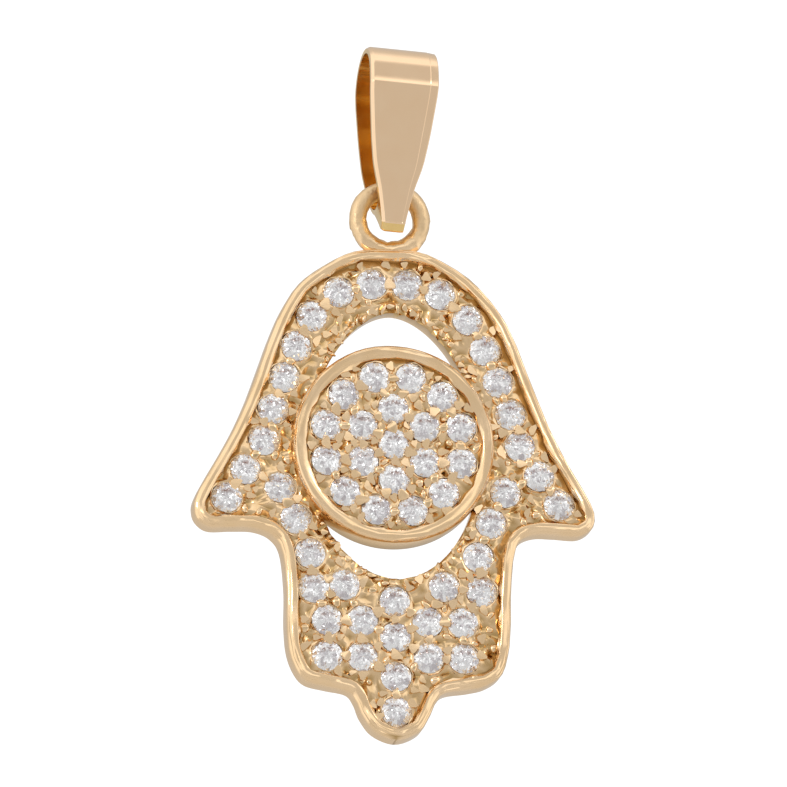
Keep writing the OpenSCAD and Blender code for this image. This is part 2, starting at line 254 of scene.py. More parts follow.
def stone_places(node):
    """Middle of each loose stone of a CAD node, in the row frame, in metres."""
    data = frame["nodes"][node].data
    co = np.array([v.co for v in data.vertices])
    _, same = np.unique(np.round(co * 1e6).astype(int), axis=0, return_inverse=True)
    same = same.ravel()
    group = np.arange(same.max() + 1)
    edges = np.array([[same[e.vertices[0]], same[e.vertices[1]]] for e in data.edges])
    while True:
        low = np.minimum(group[edges[:, 0]], group[edges[:, 1]])
        new = group.copy()
        np.minimum.at(new, edges[:, 0], low)
        np.minimum.at(new, edges[:, 1], low)
        if (new == group).all():
            break
        group = new
    group = group[same]
    return [(co[group == g].min(0) + co[group == g].max(0)) / 2 for g in np.unique(group)]


disc_places = np.array(stone_places("disc_stones"))
hand_places = np.array(stone_places("hand_stones"))
middle = disc_places.mean(0)
ORIGIN = Vector((middle[0], 0, middle[2]))
disc_stones = (disc_places[:, [0, 2]] - middle[[0, 2]]) / MM
hand_stones = (hand_places[:, [0, 2]] - middle[[0, 2]]) / MM

outline = resampled(closed_curve(np.vstack([
    [[r * HALF_W, y * (RISE if y > 0 else DROP)] for _, r, y in OUTLINE],
    [[-l * HALF_W, y * (RISE if y > 0 else DROP)] for l, _, y in OUTLINE[-2:0:-1]],
]), 16), 620)
STEP = np.linalg.norm(outline[1] - outline[0])


def inset(d):
    """The outline moved in by d. Its window grows with d, so corners stay round."""
    reach = max(1, round(d / STEP))
    t = np.roll(outline, -reach, 0) - np.roll(outline, reach, 0)
    return outline + d * np.c_[t[:, 1], -t[:, 0]] / np.linalg.norm(t, axis=1)[:, None]


def eye_edge(p):
    """Points of the opening's edge in the directions of the points p."""
    way = p - [EYE_X, 0]
    way /= np.linalg.norm(way, axis=1)[:, None]
    up = way[:, 1] > 0
    power = np.where(up, 1.8, 2)
    u = np.abs(way[:, 0]) / EYE_HALF_W
    v = np.abs(way[:, 1]) / np.where(up, EYE_RISE, EYE_DROP)
    return [EYE_X, 0] + way / ((u ** power + v ** power) ** (1 / power))[:, None]


def away(p, places):
    """Distance of each point to the nearest of the places, a few points at a time."""
    return np.concatenate([
        np.min(np.linalg.norm(q[:, None, :] - places[None, :, :], axis=2), axis=1)
        for q in np.array_split(p, len(p) // 2000 + 1)
    ])


def inside(p, line):
    """Whether p lies within a closed line."""
    a, b = line - p, np.roll(line, -1, 0) - p
    crossing = (a[:, 1] > 0) != (b[:, 1] > 0)
    x = a[crossing, 0] - a[crossing, 1] * (b - a)[crossing, 0] / (b - a)[crossing, 1]
    return np.count_nonzero(x > 0) % 2 == 1


def at_height(line, z):
    """The flat line's points at one height, or each at its own."""
    return np.c_[line, np.full(len(line), z) if np.isscalar(z) else z]


def rough_bed(p, stones, floor, seed):
    """Height of the cut and chased metal between the stones."""
    gap = away(p, stones) - SEAT_R
    crumple = 0.03 - 0.09 * np.abs(waves(p, 0.9, seed)) + 0.015 * waves(p, 0.5, seed + 1)
    lip = 0.05 * np.exp(-((gap - 0.07) / 0.06) ** 2)
    return floor + crumple * np.clip(gap / 0.2, 0.15, 1) + lip


def casting():
    """The hand's plate with its border, its bed and the opening."""
    wobble = waves(outline, 2.6, 11)
    ripple = waves(outline, 0.9, 12)
    top = CREST - 0.02 + 0.018 * wobble + 0.008 * ripple
    rings = [at_height(inset(0.13), -CREST), at_height(inset(0.04), -CREST + 0.05)]
    rings += [at_height(outline, z) for z in (-CREST + 0.16, -0.1, CREST - 0.42)]
    lean = 0.09 * waves(outline, 4.0, 13)
    for d, down in RIM_ROLL:
        rings.append(at_height(inset(d), top - down + lean * (d - 0.3)))
    inner = inset(RIM_W)
    way = inner - inset(0.3)
    way /= np.linalg.norm(way, axis=1)[:, None]
    inner = inner + way * (0.025 * ripple + 0.015 * wobble)[:, None]
    rings.append(at_height(inner - way * 0.01, top - 0.15))
    edge = eye_edge(inner)
    rings += hand_bed(inner, edge)
    rings += [at_height(edge, z) for z in (-0.1, -CREST + 0.05)]
    rings.append(at_height(edge + 0.04 * (edge - [EYE_X, 0])
                           / np.linalg.norm(edge - [EYE_X, 0], axis=1)[:, None], -CREST))
    return mesh_object("hand_metal", *loft(rings))


def hand_bed(inner, edge):
    """Rings of the bed, from the border's foot to the edge of the opening."""
    rings = []
    steps = 38
    for k in range(steps + 1):
        t = (k / steps) ** 0.9
        line = inner + (edge - inner) * t
        z = rough_bed(line, hand_stones, BED, 21)
        near_rim = np.clip(1 - np.linalg.norm(line - inner, axis=1) / 0.25, 0, 1)
        near_eye = np.clip(1 - np.linalg.norm(line - edge, axis=1) / 0.3, 0, 1)
        z = z * (1 - near_rim) + (BED - 0.1) * near_rim - 0.1 * near_eye ** 2
        rings.append(at_height(line, z))
    return rings


def disc():
    """The round disc with its border and its bed."""
    turn = np.linspace(0, -2 * math.pi, 264, endpoint=False)
    circle = np.c_[np.cos(turn), np.sin(turn)]
    wobble = waves(circle * DISC_R, 3.1, 31)
    ripple = waves(circle * DISC_R, 1.1, 32)
    top = DISC_CREST - 0.015 + 0.012 * wobble + 0.006 * ripple
    inner_r = DISC_R - DISC_RIM_W + 0.035 * ripple + 0.02 * wobble
    rings = [at_height(circle * r, z) for r, z in (
        (0.5, DISC_BACK), (DISC_R - 0.14, DISC_BACK), (DISC_R, DISC_BACK + 0.12))]
    lean = 0.06 * waves(circle * DISC_R, 4.5, 33)
    for d, down in DISC_ROLL:
        rings.append(at_height(circle * (DISC_R - d), top - down + lean * (d - 0.35)))
    for d, down in ((0.06, 0.11), (0.03, 0.14), (0.01, 0.19), (0, 0.26)):
        rings.append(at_height(circle * (inner_r + d)[:, None], top - down))
    steps = 25
    for k in range(steps):
        line = circle * (inner_r * (1 - k / (steps + 0.5)))[:, None]
        z = rough_bed(line, disc_stones, DISC_FLOOR, 41)
        near_rim = max(0, 1 - k / 2)
        rings.append(at_height(line, z * (1 - near_rim) + (DISC_FLOOR - 0.1) * near_rim))
    return mesh_object("disc", *loft(rings, around=False))


def ring():
    """The ring on the hand's top, bumpier towards its foot."""
    rings = []
    for a in np.linspace(0, 2 * math.pi, 110, endpoint=False):
        b = np.linspace(0, -2 * math.pi, 30, endpoint=False)
        low = max(0.0, -math.sin(a)) ** 3
        r = WIRE_R * (0.985 + 0.12 * low)
        out = RING_R + r * np.cos(b)
        rings.append(np.c_[RING_X + out * math.cos(a), RING_Y + out * math.sin(a), r * np.sin(b)])
    points, faces = loft(rings)
    points = np.array(points)
    middle_line = points - [RING_X, RING_Y, 0]
    flat = middle_line[:, :2] / np.linalg.norm(middle_line[:, :2], axis=1)[:, None] * RING_R
    normal = middle_line - np.c_[flat, np.zeros(len(flat))]
    normal /= np.linalg.norm(normal, axis=1)[:, None]
    rough = 0.5 + 0.5 * np.clip(-middle_line[:, 1] / RING_R, -1, 1)
    bumps = (0.01 * waves(points, 1.4, 51) + 0.02 * rough * waves(points, 0.55, 52)
             + 0.015 * rough * waves(points, 0.3, 53))
    return mesh_object("ring", points + normal * np.clip(bumps, -0.05, 0.035)[:, None], faces)


def lathe(profile, n, place, lift):
    """Solid turned round an upright axis; the profile runs from its foot to its top."""
    a = np.linspace(0, -2 * math.pi, n, endpoint=False)
    rings = [np.c_[place[0] + r * np.cos(a), place[1] + r * np.sin(a), np.full(n, z + lift)]
             for r, z in profile]
    return loft(rings, around=False)


def together(name, solids):
    """One object of many solids, each of them given as points and faces."""
    points, faces = [], []
    for p, f in solids:
        faces += [tuple(i + len(points) for i in face) for face in f]
        points += list(p)
    return mesh_object(name, points, faces)


def seats(places, floor):
    """What is cut out for each stone: its seat and the drill hole behind it."""
    drop = -PAVILION * (1 - DRILL_R / STONE_R) - 0.03
    profile = ((DRILL_R, -3), (DRILL_R, drop), (SEAT_R, -0.05), (SEAT_R, 1))
    return [lathe(profile, 28, p, floor + STONE_LIFT) for p in places]


def room(places, floor):
    """The space that each stone takes, which grains lean over but never enter."""
    wide = STONE_R + 0.012
    profile = ((0.05, -PAVILION - 0.05), (wide, -0.03), (wide, GIRDLE + 0.012),
               (STONE_R * TABLE_SHARE, CROWN + GIRDLE + 0.012), (0.05, CROWN + GIRDLE + 0.3))
    return [lathe(profile, 28, p, floor + STONE_LIFT) for p in places]


def lip(place, z, rng):
    """Thin raised edge that the tool left round a stone, sunk in at some places."""
    n = 26
    a = np.linspace(0, -2 * math.pi, n, endpoint=False)
    sides = np.linspace(0, 2 * math.pi, 6, endpoint=False)
    turn = rng.uniform(0, 2 * math.pi, 3)
    high = z - 0.01 + 0.05 * np.sin(a + turn[0]) + 0.03 * np.sin(3 * a + turn[1])
    out = SEAT_R + 0.045 + 0.02 * np.sin(4 * a + turn[2])
    rings = []
    for b in sides:
        r = out + 0.05 * math.cos(b)
        rings.append(np.c_[place[0] + r * np.cos(a), place[1] + r * np.sin(a),
                           high + 0.06 * math.sin(b)])
    return loft(rings)


def blob(place, z, r, height, rng, flat=1.0, longest=1.2):
    """One raised grain: a bead, or a three-sided pillar whose top a file made flat."""
    n, k = 14, 8
    turn = rng.uniform(0, 2 * math.pi)
    stretch = rng.uniform(1, longest)
    corner = rng.uniform(0.03, 0.08) + 0.35 * (1 - flat)
    tilt = rng.normal(0, 0.08, 2)
    a = np.linspace(0, -2 * math.pi, n, endpoint=False)
    rings = []
    for i in range(k):
        b = -0.5 * math.pi + math.pi * (i + 0.5) / k
        c, s = math.cos(b) ** (0.8 * flat), math.sin(b)
        wide = r * c * (1 + corner * np.cos(3 * a + turn))
        x, y = wide * np.cos(a) * stretch, wide * np.sin(a) / stretch
        cut = flat + tilt[0] * x + tilt[1] * y
        up = height * np.minimum(math.copysign(abs(s) ** 0.85, s), cut)
        rings.append(np.c_[place[0] + x * math.cos(turn) - y * math.sin(turn),
                           place[1] + x * math.sin(turn) + y * math.cos(turn), z + up])
    return loft(rings, around=False)


def nick():
    """The small cut in the border at the foot's point."""
    x, y, w, h = NICK_X, -DROP, NICK_HALF_W, NICK_RISE
    corners = np.array([[x - w, y - h], [x - w, y + h], [x + w, y + h], [x + w, y - h]])
    return mesh_object("nick", *loft([at_height(corners, z) for z in (-1, 1)], around=False))


def grain_places(places, allowed, rng):
    """Grains stand in the corners between neighbouring stones and lean on both."""
    reach = STONE_R + 0.09
    found = []
    for i, a in enumerate(places):
        for b in places[i + 1:]:
            d = np.linalg.norm(b - a)
            if d > NEIGHBOURS:
                continue
            rise = math.sqrt(max(reach ** 2 - d * d / 4, 0.0))
            for side in (-1, 1):
                p = (a + b) / 2 + side * rise * np.array([b[1] - a[1], a[0] - b[0]]) / d
                p = p + rng.normal(0, 0.035, 2)
                if allowed(p) and all(np.linalg.norm(p - q) > GRAIN_GAP for q in found):
                    found.append(p)
    return found


def apart(items):
    """Sorts (place, solid) pairs into sets in which no two touch."""
    sets = []
    for p, solid in items:
        size = max(np.linalg.norm(q[:2] - p) for q in solid[0])
        for chosen in sets:
            if all(np.linalg.norm(p - q) > size + other for q, _, other in chosen):
                chosen.append((p, solid, size))
                break
        else:
            sets.append([(p, solid, size)])
    return sets


def on_hand(p):
    """Whether a grain may stand at p on the hand's bed."""
    q = p[None, :]
    edge = eye_edge(q)[0]
    return (inside(p, outline) and away(q, outline)[0] > RIM_W + 0.1
            and away(q, hand_stones)[0] > STONE_R + 0.02
            and np.linalg.norm(p) > DISC_R + 0.12
            and np.linalg.norm(p - [EYE_X, 0]) > np.linalg.norm(edge - [EYE_X, 0]) + 0.2)


def on_disc(p):
    """Whether a grain may stand at p on the disc's bed."""
    return (away(p[None, :], disc_stones)[0] > STONE_R + 0.02
            and np.linalg.norm(p) < DISC_R - DISC_RIM_W - 0.1)


# Columns: stones, where grains may stand, height of the bed, half its extent.
BEDS = ((hand_stones, on_hand, BED, (HALF_W, DROP)),
        (disc_stones, on_disc, DISC_FLOOR, (DISC_R, DISC_R)))


def corner_grains(rng):
    """The grains that lean on two neighbouring stones."""
    grains = []
    for places, allowed, z, _ in BEDS:
        for p in grain_places(places, allowed, rng):
            flat = rng.choice([0.5, 0.6, 0.7, 1])
            grains.append((p, blob(p, z, rng.uniform(0.23, 0.3), rng.uniform(0.17, 0.24) / flat,
                                   rng, flat)))
    return grains


def fill_beds(grains, rng):
    """Adds the cut and pushed-up metal that fills the rest of both beds."""
    for places, allowed, z, half in BEDS:
        for _ in range(BEAD_TRIES):
            p = rng.uniform(-1, 1, 2) * half
            if (allowed(p) and away(p[None, :], places)[0] > SEAT_R + 0.1
                    and all(np.linalg.norm(p - q) > BEAD_GAP for q, _ in grains)):
                flat = rng.choice([0.5, 0.6, 1])
                grains.append((p, blob(p, z - 0.05, rng.uniform(0.16, 0.26),
                                       rng.uniform(0.14, 0.22) / flat, rng, flat, 1.4)))


def edge_beads(rng):
    """A row of small beads along the edge of the opening."""
    edge = resampled(eye_edge(inset(RIM_W)), 100)
    out = edge - [EYE_X, 0]
    out /= np.linalg.norm(out, axis=1)[:, None]
    beads = []
    for q, way in zip(edge, out):
        p = q + way * rng.uniform(0.16, 0.36)
        if np.linalg.norm(p) > DISC_R + 0.25 and away(p[None, :], hand_stones)[0] > STONE_R + 0.2:
            beads.append((p, blob(p, BED - 0.06, rng.uniform(0.13, 0.19),
                                  rng.uniform(0.14, 0.24), rng, rng.choice([0.7, 1]), 1.8)))
    return beads


def level_back(metal):
    """Brings the points of the back to its two heights and shades what is low flat."""
    for vertex in metal.data.vertices:
        for back in (-CREST, DISC_BACK):
            if abs(vertex.co.z - back) < 0.03:
                vertex.co.z = back
    smooth(metal, 38)
    for polygon in metal.data.polygons:
        polygon.use_smooth = polygon.normal.z > -0.9 and polygon.center.z > BACK_TOP


def hand_metal():
    """The hand with its disc, ring and grains, cut for the stones and stood up."""
    rng = np.random.default_rng(5)
    metal = casting()
    boolean(metal, disc(), "UNION")
    boolean(metal, ring(), "UNION")
    boolean(metal, together("seats", seats(hand_stones, BED) + seats(disc_stones, DISC_FLOOR)),
            "DIFFERENCE")
    boolean(metal, nick(), "DIFFERENCE")
    grains = corner_grains(rng)
    fill_beds(grains, rng)
    grains += edge_beads(rng)
    grains += [(p, lip(p, BED, rng)) for p in hand_stones]
    grains += [(p, lip(p, DISC_FLOOR, rng)) for p in disc_stones]
    for chosen in apart(grains):
        tool = together("grains", [solid for _, solid, _ in chosen])
        boolean(tool, together("room", room(hand_stones, BED) + room(disc_stones, DISC_FLOOR)),
                "DIFFERENCE")
        boolean(metal, tool, "UNION")
    thinned(metal, MOST_TRIANGLES, BACK_TOP)
    outwards(metal)
    level_back(metal)
    mark(metal)
    stand_up(metal, ORIGIN)
    return metal


def mark(metal):
    """Notes at each point how far it lies out of the painted shade of the recesses, where the
    casting was left rough, and where flat grain tops face the front and get a painted dark
    reflection, with a little of that darker colour on the rough cast ring as its own tone."""
    p = np.array([v.co for v in metal.data.vertices])
    on_disc = np.linalg.norm(p[:, :2], axis=1) < DISC_R - DISC_RIM_W + 0.05
    floor = np.where(on_disc, DISC_FLOOR, BED)
    # Painted shade: points low between the grains and stones get the dark recess colour.
    unshaded = np.clip((p[:, 2] - floor + 0.09) / 0.14, 0, 1)
    far = away(p[:, :2], outline)
    holes = away(p[:, :2], np.vstack([hand_stones, disc_stones])) < DRILL_R + 0.02
    outer = (far < 0.12) | (p[:, 2] < DISC_BACK + 0.1) | (p[:, 1] > RISE - 0.1) | holes
    on_rim = (np.linalg.norm(p[:, :2], axis=1) > DISC_R - 0.1) & (p[:, 2] > CREST)
    # No painted shade on the outer walls, the back, the top, the holes behind the stones and the
    # rims.
    unshaded[outer | on_rim] = 1
    # Painted shade inside the nick's cut.
    unshaded[(np.abs(p[:, 0] - NICK_X) < 0.06) & (p[:, 1] < 0.22 - DROP)] = 0
    cast = np.clip((p[:, 1] - RISE - 0.1) / 0.6, 0, 1)
    up = np.array([v.normal[2] for v in metal.data.vertices])
    # Painted dark reflection: flat grain tops that face the front are darkened.
    dark_reflection_and_cast = np.clip((up - 0.93) / 0.05, 0, 1) * np.clip((p[:, 2] - floor - 0.05) / 0.03, 0, 1)
    dark_reflection_and_cast[outer | on_rim | (p[:, 2] > floor + 0.3)] = 0
    # The ring's rough casting gets a little of the same darker colour as its own duller tone.
    dark_reflection_and_cast = np.maximum(dark_reflection_and_cast, 0.35 * cast)
    for name, values in (("unshaded", unshaded), ("cast", cast), ("dark_reflection_and_cast", dark_reflection_and_cast)):
        metal.data.attributes.new(name, "FLOAT", "POINT").data.foreach_set("value", values)


def brilliant(turn, tilt):
    """Points and faces of a round brilliant of 57 facets and a girdle."""
    r = STONE_R
    table, star, low = TABLE_SHARE * r, STAR_SHARE * r, LOW_SHARE * r
    half = math.pi / 8
    slope = CROWN / (r - table)
    star_z = GIRDLE + CROWN - (star * math.cos(half) - table) * slope
    drop = PAVILION / r
    low_z = -GIRDLE - (r - low * math.cos(half)) * drop

    def circle(radius, z, count, phase):
        a = phase + np.arange(count) * 2 * math.pi / count
        return np.c_[radius * np.cos(a), radius * np.sin(a), np.full(count, z)]

    points = np.vstack([
        circle(table, GIRDLE + CROWN, 8, 0), circle(star, star_z, 8, half),
        circle(r, GIRDLE, 16, 0), circle(r, -GIRDLE, 16, 0),
        circle(low, low_z, 8, half), [[0, 0, -GIRDLE - PAVILION]],
    ])
    faces = [tuple(range(8))]
    for i in range(8):
        j = (i + 1) % 8
        t, tn, s, sp = i, j, 8 + i, 8 + (i - 1) % 8
        g, m, gn = 16 + 2 * i, 17 + 2 * i, 16 + 2 * j
        faces += [(t, s, tn), (t, sp, g, s), (s, g, m), (s, m, gn)]
        u, v, w = 32 + 2 * i, 33 + 2 * i, 32 + 2 * j
        l, lp = 48 + i, 48 + (i - 1) % 8
        faces += [(g, u, v, m), (m, v, w, gn), (u, l, v), (v, l, w), (u, lp, 56, l)]
    c, s = math.cos(turn), math.sin(turn)
    points = points @ np.array([[c, s, 0], [-s, c, 0], [0, 0, 1]])
    points[:, 2] += points[:, 0] * tilt[0] + points[:, 1] * tilt[1]
    return points, faces


def stones(name, places, floor, seed, node, crown, pavilion):
    """All the stones of one bed. Each point is told its place within its stone, and
    each face the random number of its stone."""
    rng = np.random.default_rng(seed)
    solids, within, numbers, kinds = [], [], [], []
    for p in places:
        points, faces = brilliant(rng.uniform(0, math.pi / 4), rng.normal(0, 0.018, 2))
        solids.append((points + [p[0], p[1], floor + STONE_LIFT], faces))
        within += [(x / STONE_R, y / STONE_R, 0) for x, y, _ in points]
        numbers += list(np.repeat(rng.uniform(0, 40), len(faces)))
        kinds += [int(np.mean([points[i][2] for i in face]) < 0) for face in faces]
    obj = together(name, solids)
    outwards(obj)
    data = obj.data.attributes
    data.new("within", "FLOAT_VECTOR", "POINT").data.foreach_set("vector", np.ravel(within))
    data.new("stone", "FLOAT", "FACE").data.foreach_set("value", numbers)
    stand_up(obj, ORIGIN)
    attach(obj, "pendant")
    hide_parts(node)
    for mat in (crown, pavilion):
        obj.data.materials.append(mat)
    obj.data.polygons.foreach_set("material_index", kinds)


def outwards(obj):
    """Makes the faces of every loose solid look outwards."""
    bm = bmesh.new()
    bm.from_mesh(obj.data)
    bmesh.ops.recalc_face_normals(bm, faces=bm.faces)
    bm.to_mesh(obj.data)
    bm.free()


def arc(r, y, start, end, n):
    """n points on an arc of radius r round the height y."""
    a = np.linspace(start, end, n)
    return np.c_[r * np.cos(a), y + r * np.sin(a)]


def spread(line, n):
    """n points evenly along an open line."""
    at = np.r_[0, np.cumsum(np.linalg.norm(np.diff(line, axis=0), axis=1))]
    want = np.linspace(0, at[-1], n)
    return np.c_[np.interp(want, at, line[:, 0]), np.interp(want, at, line[:, 1])]


def face_bends(tilt):
    """The bail's face from its crease to its top, and the top's height. It is bent up
    in steps: a crease, a nearly flat band, a bend, the round top."""
    line = [np.array([-ARCH_R * math.cos(tilt), CREASE_Y])]
    angle = -math.degrees(tilt)
    for length, last in FACE_BENDS:
        for k in range(12):
            at = math.radians(angle + (last - angle) * (k + 0.5) / 12)
            line.append(line[-1] + length / 12 * np.array([math.sin(at), math.cos(at)]))
        angle = last
    r = -line[-1][0] / math.cos(math.radians(45))
    low = line[-1][1] - r * math.sin(math.radians(45))
    line += list(arc(r, low, math.radians(135), math.radians(90), 14)[1:-1])
    return line, low + r


def strap_lines():
    """The strap's outside and inside as seen from its edge: depth and height."""
    outer_r = CRADLE_R + STRAP_T
    tilt = math.asin((ARCH_R - outer_r) / ARCH_Y)
    foot_x = -outer_r * math.cos(tilt) + FOOT * math.tan(tilt)
    line, top = face_bends(tilt)
    face = [np.array([-outer_r * math.cos(tilt), -outer_r * math.sin(tilt)]), line[0]]
    back = arc(ARCH_R, top - ARCH_R, math.pi / 2, -tilt, 40)
    down = [back[-1], [outer_r * math.cos(tilt), -outer_r * math.sin(tilt)]]
    foot = np.vstack([
        arc(outer_r, 0, -tilt, -math.radians(70), 10),
        [[foot_x + 2 * STRAP_T, STRAP_T / 3 - FOOT], [foot_x + 1.1 * STRAP_T, 0.01 - FOOT],
         [foot_x + 0.8 * STRAP_T, 0.03 - FOOT], [foot_x + 0.02, STRAP_T - FOOT],
         [foot_x - 0.03, STRAP_T * 1.1 - FOOT], [foot_x - 0.01, STRAP_T * 1.3 - FOOT], face[0]],
    ])
    over = np.vstack([spread(np.array(face), 30)[:-1], line, back[:-1],
                      spread(np.array(down), 30)[:-1]])
    along = np.gradient(over, axis=0)
    across = np.c_[-along[:, 1], along[:, 0]] / np.linalg.norm(along, axis=1)[:, None]
    outer = np.vstack([over, spread(foot, 90)[:-1]])
    inner = np.vstack([over - across * STRAP_T,
                       arc(CRADLE_R, 0, -tilt, -math.pi + tilt, 90)[:-1]])
    return outer, inner


def half_width(v):
    """Half the strap's width at a height, smoothed a little upwards and downwards."""
    return sum(np.interp(v + d, HEIGHTS, WIDTHS) for d in (-0.5, -0.25, 0, 0.25, 0.5)) / 10


def across_strap(o, i, n):
    """Points across the face from left to right, round the edge, and back inside."""
    half = half_width(o[1])
    section = [(-half + a, o - n * d) for a, d in LEFT_BEVEL]
    section += [(share * half, o) for share in (-0.4, -0.1, 0.2)]
    small = min(1, half / 1.5)
    section += [(half - a * small, o - n * d * small) for a, d in RIGHT_BEVEL]
    half = half_width(i[1])
    section += [(share * half, i) for share in (1, 0.4, -0.4, -1)]
    return np.array([(x + np.interp(q[1], HEIGHTS, SHIFTS), q[0], q[1]) for x, q in section])


def bail(face_mat, inner_mat):
    """The bent strap, with its inside and the end of its foot in the second material, a deeper,
    darker gold that is painted bounced light and shade.
    """
    outer, inner = strap_lines()
    ahead = np.roll(outer, -1, 0) - np.roll(outer, 1, 0)
    normal = np.c_[-ahead[:, 1], ahead[:, 0]] / np.linalg.norm(ahead, axis=1)[:, None]
    rings = [across_strap(o, i, n) for o, i, n in zip(outer, inner, normal)]
    points, faces = loft(rings)
    obj = mesh_object("bail_strap", points, faces)
    outwards(obj)
    smooth(obj, 9)
    count = len(rings[0])
    obj.data.materials.append(face_mat)
    obj.data.materials.append(inner_mat)
    # The inside of the strap and the end of its foot get the deeper, darker gold: painted bounced
    # light and shade.
    yellow = outer[:, 1] < STRAP_T - 0.02 - FOOT
    inward = [int(k % count in range(count - 4, count) or yellow[k // count])
              for k in range(len(faces))]
    obj.data.polygons.foreach_set("material_index", inward)
    hinge = Vector(frame["joints"][0]["pos_m"])
    obj.data.transform(Matrix.Translation(hinge) @ Matrix.Rotation(LEAN, 4, "Y")
                       @ Matrix.Rotation(TURN, 4, "Z") @ Matrix.Scale(MM, 4))
    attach(obj, "bail")
    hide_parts("bail")


def new_material(name):
    """An empty material, its nodes and its links."""
    mat = bpy.data.materials.new(name)
    mat.use_nodes = True
    nodes, links = mat.node_tree.nodes, mat.node_tree.links
    nodes.clear()
    return mat, nodes, links


def noise_node(nodes, links, where, scale, detail=3):
    """A noise with features of about one metre over scale."""
    tex = nodes.new("ShaderNodeTexNoise")
    tex.inputs["Scale"].default_value = scale
    tex.inputs["Detail"].default_value = detail
    links.new(where, tex.inputs["Vector"])
    return tex.outputs["Fac"]


def ramp(nodes, links, value, low, high, stops=(0.35, 0.65)):
    """Colour between low and high, for a value between the stops."""
    node = nodes.new("ShaderNodeValToRGB")
    for element, stop, colour in zip(node.color_ramp.elements, stops, (low, high)):
        element.position = stop
        element.color = (*colour, 1) if len(colour) == 3 else (colour[0],) * 3 + (1,)
    links.new(value, node.inputs["Fac"])
    return node.outputs["Color"]


def attribute(nodes, name):
    """Outputs of a node that reads what the mesh notes under that name."""
    node = nodes.new("ShaderNodeAttribute")
    node.attribute_name = name
    return node.outputs


def mixed(nodes, links, factor, first, second):
    """Mix of two colours, each of them a socket or a fixed colour."""
    node = nodes.new("ShaderNodeMix")
    node.data_type = "RGBA"
    links.new(factor, node.inputs["Factor"])
    for slot, colour in ((node.inputs[6], first), (node.inputs[7], second)):
        if isinstance(colour, tuple):
            slot.default_value = (*colour, 1)
        else:
            links.new(colour, slot)
    return node.outputs[2]


def gold(name, light, dark, rough, bump, shade_colour=None):
    """Polished plated metal: colour, polish and surface change slightly from place to
    place. With a shade colour, points noted as lying in the recesses get that painted
    shade, flat grain tops facing the front get a darker painted reflection, and points
    whose "cast" is high get a little of that darker colour as their own duller tone and
    are as rough as they came from the mould."""
    mat, nodes, links = new_material(name)
    out = nodes.new("ShaderNodeOutputMaterial")
    shader = nodes.new("ShaderNodeBsdfPrincipled")
    place = nodes.new("ShaderNodeTexCoord").outputs["Object"]
    shader.inputs["Metallic"].default_value = 1
    colour = ramp(nodes, links, noise_node(nodes, links, place, 700), dark, light)
    polish = ramp(nodes, links, noise_node(nodes, links, place, 1600), (rough[0],), (rough[1],))
    bumps = nodes.new("ShaderNodeBump")
    bumps.inputs["Distance"].default_value = bump
    bumps.inputs["Strength"].default_value = 1
    height = noise_node(nodes, links, place, 3600, 6)
    if shade_colour:
        # Painted shade in the recesses.
        colour = mixed(nodes, links, attribute(nodes, "unshaded")["Fac"], shade_colour, colour)
        # Painted dark reflection on flat grain tops; the ring's own duller cast tone.
        colour = mixed(nodes, links, attribute(nodes, "dark_reflection_and_cast")["Fac"], colour, DARK_REFLECTION_AND_CAST)
        cast = attribute(nodes, "cast")["Fac"]
        polish = maths(nodes, links, "MULTIPLY_ADD", cast, CAST_ROUGHNESS, polish)
        deeper = maths(nodes, links, "MULTIPLY_ADD", cast, bump * CAST_DEPTH, bump)
        links.new(deeper, bumps.inputs["Distance"])
    links.new(colour, shader.inputs["Base Color"])
    links.new(polish, shader.inputs["Roughness"])
    links.new(height, bumps.inputs["Height"])
    links.new(bumps.outputs["Normal"], shader.inputs["Normal"])
    links.new(shader.outputs["BSDF"], out.inputs["Surface"])
    return mat


def maths(nodes, links, kind, *values):
    """Result of one sum, of sockets or fixed numbers."""
    node = nodes.new("ShaderNodeMath")
    node.operation = kind
    for slot, value in zip(node.inputs, values):
        if isinstance(value, (int, float)):
            slot.default_value = value
        else:
            links.new(value, slot)
    return node.outputs["Value"]


def vector_maths(nodes, links, kind, *values):
    """Node of one vector sum, of sockets or fixed vectors."""
    node = nodes.new("ShaderNodeVectorMath")
    node.operation = kind
    for slot, value in zip(node.inputs, values):
        if isinstance(value, tuple):
            slot.default_value = value
        else:
            links.new(value, slot)
    return node


def cells(nodes, links, where, scale):
    """A random colour for each small cell."""
    node = nodes.new("ShaderNodeTexVoronoi")
    node.inputs["Scale"].default_value = scale
    links.new(where, node.inputs["Vector"])
    return node.outputs["Color"]


def bent(nodes, links, normal, colour, bend):
    """The normal, turned by a random colour."""
    centred = vector_maths(nodes, links, "SUBTRACT", colour, (0.5, 0.5, 0.5))
    scaled = vector_maths(nodes, links, "SCALE", centred.outputs["Vector"])
    scaled.inputs["Scale"].default_value = bend
    return vector_maths(nodes, links, "ADD", normal, scaled.outputs["Vector"]).outputs["Vector"]


def painted_reflection_arc(nodes, links, within, up, fine):
    """How much of the brown arc, a painted reflection, is seen at a point. Its middle lies above the
    table's.
    """
    middle_away = vector_maths(nodes, links, "DISTANCE", within, (0, -0.12, 0)).outputs["Value"]
    off = maths(nodes, links, "ABSOLUTE", maths(nodes, links, "SUBTRACT", middle_away, 0.52))
    near = maths(nodes, links, "MULTIPLY_ADD", off, -8, 1.5)
    higher = maths(nodes, links, "MULTIPLY_ADD", up, 4, -0.5)
    clamp = nodes.new("ShaderNodeClamp")
    links.new(maths(nodes, links, "MINIMUM", near, higher), clamp.inputs["Value"])
    parts = nodes.new("ShaderNodeSeparateXYZ")
    links.new(fine, parts.inputs[0])
    return maths(nodes, links, "MULTIPLY", clamp.outputs["Result"], parts.outputs["Y"])


